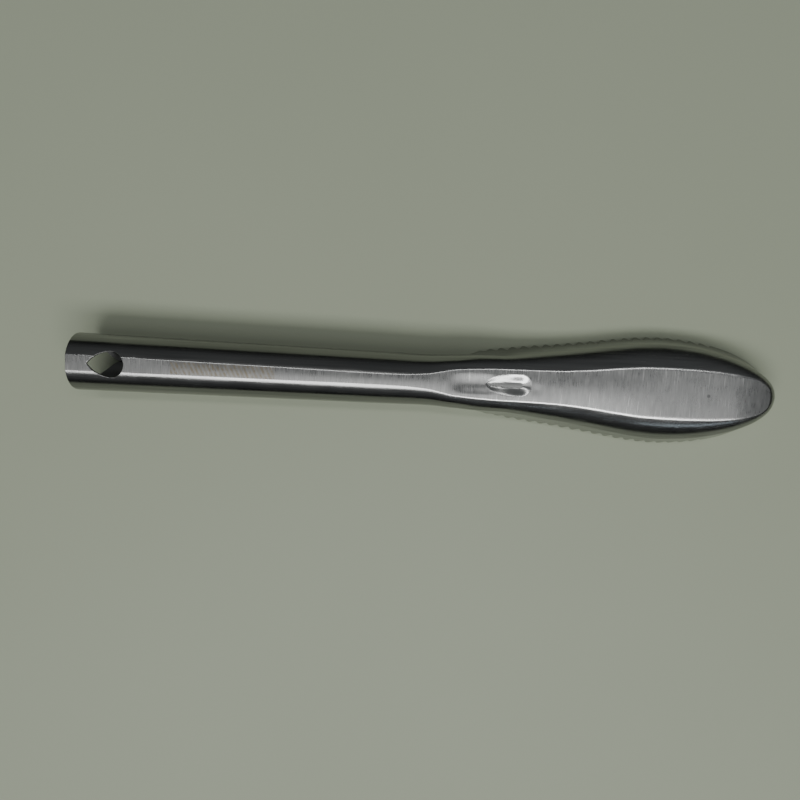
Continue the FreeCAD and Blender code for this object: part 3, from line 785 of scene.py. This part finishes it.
class Graph:
    """A material's node tree, with short ways to wire values together."""

    def __init__(self, material):
        material.use_nodes = True
        self.nodes, self.links = material.node_tree.nodes, material.node_tree.links
        self.shader = self.nodes["Principled BSDF"]

    def feed(self, socket, value):
        if isinstance(value, bpy.types.NodeSocket):
            self.links.new(value, socket)
        else:
            socket.default_value = value

    def math(self, operation, a, b=0.0, clamp=False):
        node = self.nodes.new("ShaderNodeMath")
        node.operation, node.use_clamp = operation, clamp
        self.feed(node.inputs[0], a)
        self.feed(node.inputs[1], b)
        return node.outputs[0]

    def blend(self, factor, a, b):
        node = self.nodes.new("ShaderNodeMix")
        self.feed(node.inputs["Factor"], factor)
        self.feed(node.inputs["A"], a)
        self.feed(node.inputs["B"], b)
        return node.outputs["Result"]

    def tint(self, factor, a, b):
        node = self.nodes.new("ShaderNodeMix")
        node.data_type = "RGBA"
        self.feed(node.inputs["Factor"], factor)
        self.feed(node.inputs[6], a)
        self.feed(node.inputs[7], b)
        return node.outputs[2]

    def spread(self, value, low, high, start, end):
        node = self.nodes.new("ShaderNodeMapRange")
        for name, item in (("Value", value), ("From Min", low), ("From Max", high),
                           ("To Min", start), ("To Max", end)):
            self.feed(node.inputs[name], item)
        return node.outputs["Result"]

    def noise(self, where, along, across, detail=2.0, rough=0.5):
        """Noise on the grain map, whose unit is a millimetre: features per mm each way."""
        mapping = self.nodes.new("ShaderNodeMapping")
        mapping.inputs["Scale"].default_value = (along, across, 1.0)
        self.links.new(where, mapping.inputs["Vector"])
        node = add(self.nodes, "TexNoise", Scale=1.0, Detail=detail, Roughness=rough)
        self.links.new(mapping.outputs["Vector"], node.inputs["Vector"])
        return node.outputs["Fac"]


def steel_material(name):
    """Brushed stainless steel. The flat top is brushed across and the sides along; the
    "flat" attribute says which, and fades over the crease. It also sets the colour: the top is
    painted lighter and the sides darker, as painted light and shade on the same steel. It is
    below zero on the inside of the sheet, which is left dull and painted dark as painted shade."""
    material = bpy.data.materials.new(name)
    g = Graph(material)
    uv = g.nodes.new("ShaderNodeUVMap")
    uv.uv_map = "grain"
    where = uv.outputs["UV"]
    tangent = g.nodes.new("ShaderNodeTangent")
    tangent.direction_type = "UV_MAP"
    tangent.uv_map = "grain"
    g.links.new(tangent.outputs["Tangent"], g.shader.inputs["Tangent"])
    attribute = g.nodes.new("ShaderNodeAttribute")
    attribute.attribute_name = "flat"
    flat = g.math("MAXIMUM", attribute.outputs["Fac"], 0.0)
    inside = g.spread(attribute.outputs["Fac"], -0.4, -0.6, 0.0, 1.0)
    split = g.nodes.new("ShaderNodeSeparateXYZ")
    g.links.new(where, split.inputs[0])
    run, across = split.outputs[0], split.outputs[1]

    cross_lines = g.noise(where, 3.6, 0.32, 3.0, 0.6)
    cross_bands = g.noise(where, 0.7, 0.12, 1.0)
    long_lines = g.noise(where, 0.05, 5.0, 3.0, 0.6)
    long_bands = g.noise(where, 0.03, 0.9, 1.0)
    lines = g.blend(flat, long_lines, cross_lines)
    bands = g.blend(flat, long_bands, cross_bands)
    wear = g.noise(where, 0.16, 0.3, 3.0)

    scratch = g.noise(where, 2.4, 0.11, 1.0)
    scratch = g.math("MULTIPLY", g.spread(scratch, 0.66, 0.72, 0.0, 1.0), flat)
    tone = g.blend(0.4, lines, bands)
    tone = g.spread(tone, 0.3, 0.7, 0.0, 1.0)
    painted_top_light = g.math("MULTIPLY", flat, 2.5, clamp=True)
    # Painted light and shade: the sides get a darker colour and the top a lighter one, for how
    # light falls on one and the same steel
    sides = g.tint(tone, (0.24, 0.245, 0.24, 1), (0.42, 0.42, 0.41, 1))
    top = g.tint(tone, (0.47, 0.475, 0.465, 1), (0.70, 0.70, 0.685, 1))
    colour = g.tint(painted_top_light, sides, top)
    colour = g.tint(scratch, colour, (0.86, 0.86, 0.84, 1))
    # Painted shade: the handle's colour is darkened, fading out towards the head
    colour = g.tint(g.spread(run, *HANDLE_SHADE_STATIONS, HANDLE_SHADE_SHARE, 1.0), (0, 0, 0, 1), colour)

    # Etched strip on the handle: plain slanting strokes, brownish where the acid bit
    slant = g.math("ADD", g.math("MULTIPLY", run, STROKE_SLANT[0]),
                   g.math("MULTIPLY", across, STROKE_SLANT[1]))
    strokes = g.math("LESS_THAN", g.math("PINGPONG", slant, 0.5), STROKE_SHARE)
    panel = g.math("MULTIPLY", g.math("GREATER_THAN", run, ETCHED_RUN[0]),
                   g.math("LESS_THAN", run, ETCHED_RUN[1]))
    panel = g.math("MULTIPLY", panel,
                   g.math("LESS_THAN", g.math("ABSOLUTE", across), ETCHED_HALF_WIDTH))
    patchy = g.spread(g.noise(where, 0.9, 0.9, 2.0), 0.35, 0.6, 0.35, 1.0)
    etched = g.math("MULTIPLY", g.math("MULTIPLY", panel, patchy), g.blend(strokes, 0.15, 0.7))
    colour = g.tint(etched, colour, (0.33, 0.27, 0.17, 1))

    # Small stain on the crown
    off_run = g.math("SUBTRACT", run, STAIN_SPOT[0])
    off_across = g.math("SUBTRACT", across, STAIN_SPOT[1])
    away = g.math("ADD", g.math("MULTIPLY", off_run, off_run),
                  g.math("MULTIPLY", off_across, off_across))
    stain = g.math("MULTIPLY", g.spread(away, *STAIN_REACH, 0.75, 0.0), flat)
    colour = g.tint(stain, colour, (0.22, 0.225, 0.225, 1))
    # Painted shade: the inside of the sheet, in the tool's hollow, is given a dark colour
    colour = g.tint(g.math("MULTIPLY", inside, 0.8), colour, (0.16, 0.165, 0.16, 1))
    g.links.new(colour, g.shader.inputs["Base Color"])

    rough = g.blend(flat, 0.21, 0.29)
    rough = g.math("ADD", rough, g.spread(lines, 0.3, 0.7, -0.04, 0.05))
    rough = g.math("ADD", rough, g.spread(wear, 0.35, 0.65, -0.02, 0.03))
    rough = g.math("ADD", rough, g.math("MULTIPLY", etched, 0.15))
    rough = g.math("ADD", rough, g.math("MULTIPLY", inside, 0.25))
    g.links.new(rough, g.shader.inputs["Roughness"])
    relief = add(g.nodes, "Bump", Distance=0.000003)
    g.feed(relief.inputs["Strength"], g.blend(flat, 0.12, 0.22))
    g.links.new(lines, relief.inputs["Height"])
    g.links.new(relief.outputs["Normal"], g.shader.inputs["Normal"])
    g.shader.inputs["Metallic"].default_value = 1.0
    g.shader.inputs["Anisotropic"].default_value = 0.6
    return material


tube_steel, flat_steel, skirt_steel = [
    steel_material(name) for name in ("tube_steel", "flat_steel", "skirt_steel")]


# ---------------------------------------------------------------- pieces

def degrees_to(station):
    """Path value in the toe whose foot is at this station."""
    return TOE_STATION + 90.0 - math.degrees(
        math.acos((station - TOE_STATION) / (2 * HALF_LENGTH - TOE_STATION)))


toe_start = degrees_to(TOE_CAP_STATION)
toe_tip = TOE_STATION + 90.0
skirt_path = np.concatenate([spaced(HEAD_STATION, TOE_STATION, 0.2),
                             spaced(TOE_STATION, toe_start, 0.35)[1:]])
toe_path = spaced(toe_start, toe_tip, 0.8)
crown_path = np.concatenate([spaced(CROWN_STATION, TOE_STATION, 0.5),
                             spaced(TOE_STATION, toe_tip, 0.8)[1:]])
build_hanging_end(tube_steel)
build_stretch("handle_tube_sheet", "handle_tube",
              spaced(END_PIECE_STATION, NECK_STATION, 0.8), tube_steel)
build_stretch("neck_sheet", "neck", spaced(NECK_STATION, HEAD_STATION, 0.4), tube_steel)
build_top("thumb_rest_sheet", "thumb_rest", spaced(HEAD_STATION, CROWN_STATION, 0.2), flat_steel)
build_top("head_crown_sheet", "head_crown", crown_path, flat_steel)
build_skirt("left_skirt_sheet", "left_toothed_skirt", skirt_path, 1, skirt_steel)
build_skirt("right_skirt_sheet", "right_toothed_skirt", skirt_path, -1, skirt_steel)
build_toe(toe_path, skirt_steel)


# ---------------------------------------------------------------- floor, light and camera

TABLE_SIZE = 0.9
TABLE_DROP = 0.00002
LIGHT_DISTANCE = 0.9


def floor():
    """Plain pale table, just under the tool."""
    bpy.ops.mesh.primitive_plane_add(size=TABLE_SIZE, location=(0, 0, -TABLE_DROP))
    plane = bpy.context.object
    plane.name = "table_top"
    material = bpy.data.materials.new("pale_table")
    g = Graph(material)
    coords = g.nodes.new("ShaderNodeTexCoord")
    noise = add(g.nodes, "TexNoise", Scale=9.0, Detail=3.0)
    g.links.new(coords.outputs["Object"], noise.inputs["Vector"])
    colour = g.nodes.new("ShaderNodeValToRGB")
    colour.color_ramp.elements[0].color = (0.362, 0.402, 0.297, 1)
    colour.color_ramp.elements[1].color = (0.392, 0.433, 0.325, 1)
    g.links.new(noise.outputs["Fac"], colour.inputs["Fac"])
    g.links.new(colour.outputs["Color"], g.shader.inputs["Base Color"])
    g.shader.inputs["Roughness"].default_value = 0.55
    g.shader.inputs["Specular IOR Level"].default_value = 0.3
    plane.data.materials.append(material)


def softbox(name, off_zenith, towards, size, power, colour=(1, 1, 1)):
    """Area light aimed at the tool. off_zenith is in degrees; towards is its compass way,
    0 along +X and 90 along +Y."""
    tilt, turn = math.radians(off_zenith), math.radians(towards)
    way = Vector((math.sin(tilt) * math.cos(turn), math.sin(tilt) * math.sin(turn),
                  math.cos(tilt)))
    data = bpy.data.lights.new(name, "AREA")
    data.shape = "RECTANGLE"
    data.size, data.size_y = size
    data.energy = power
    data.color = colour
    light = bpy.data.objects.new(name, data)
    light.location = way * LIGHT_DISTANCE
    light.rotation_euler = way.to_track_quat("Z", "Y").to_euler()
    bpy.context.scene.collection.objects.link(light)


def camera():
    """Looks almost straight down, a little towards the near side, turned by the small angle
    at which the tool lies."""
    turn = math.radians(3.1)
    right = Vector((math.cos(turn), math.sin(turn), 0))
    up = Vector((-math.sin(turn), math.cos(turn), 0))
    spot = Vector((-8.9, 12.2, 179.7)) * MM
    look = Vector((0, 0, -1)) - up * 0.1062 - right * 0.0065
    data = bpy.data.cameras.new("camera")
    data.lens = 27.66
    data.sensor_width = 36.0
    data.clip_start = 10 * MM
    item = bpy.data.objects.new("camera", data)
    back = -look.normalized()
    side = up.cross(back).normalized()
    matrix = Matrix((side, back.cross(side), back)).transposed().to_4x4()
    matrix.translation = spot
    item.matrix_world = matrix
    bpy.context.scene.collection.objects.link(item)
    bpy.context.scene.camera = item


def sky():
    """Dim room: nearly black at the horizon, a little lighter overhead."""
    world = bpy.data.worlds.new("dim_room")
    world.use_nodes = True
    nodes, links = world.node_tree.nodes, world.node_tree.links
    coords = nodes.new("ShaderNodeTexCoord")
    split = nodes.new("ShaderNodeSeparateXYZ")
    links.new(coords.outputs["Generated"], split.inputs[0])
    lift = nodes.new("ShaderNodeMapRange")
    for name, value in (("From Min", 0.08), ("From Max", 0.5),
                        ("To Min", 0.015), ("To Max", 0.12)):
        lift.inputs[name].default_value = value
    links.new(split.outputs["Z"], lift.inputs["Value"])
    background = nodes["Background"]
    background.inputs["Color"].default_value = (0.93, 0.97, 1.0, 1)
    links.new(lift.outputs["Result"], background.inputs["Strength"])
    bpy.context.scene.world = world


floor()
sky()
softbox("overhead", 14.5, -90, (1.35, 0.30), 1.0)
softbox("key", 34, -90, (1.1, 0.24), 5.4)
softbox("rim", 18, 90, (0.9, 0.09), 1.2)
softbox("window", 66, -56, (0.26, 0.025), 0.06, (0.75, 0.88, 1.0))
camera()
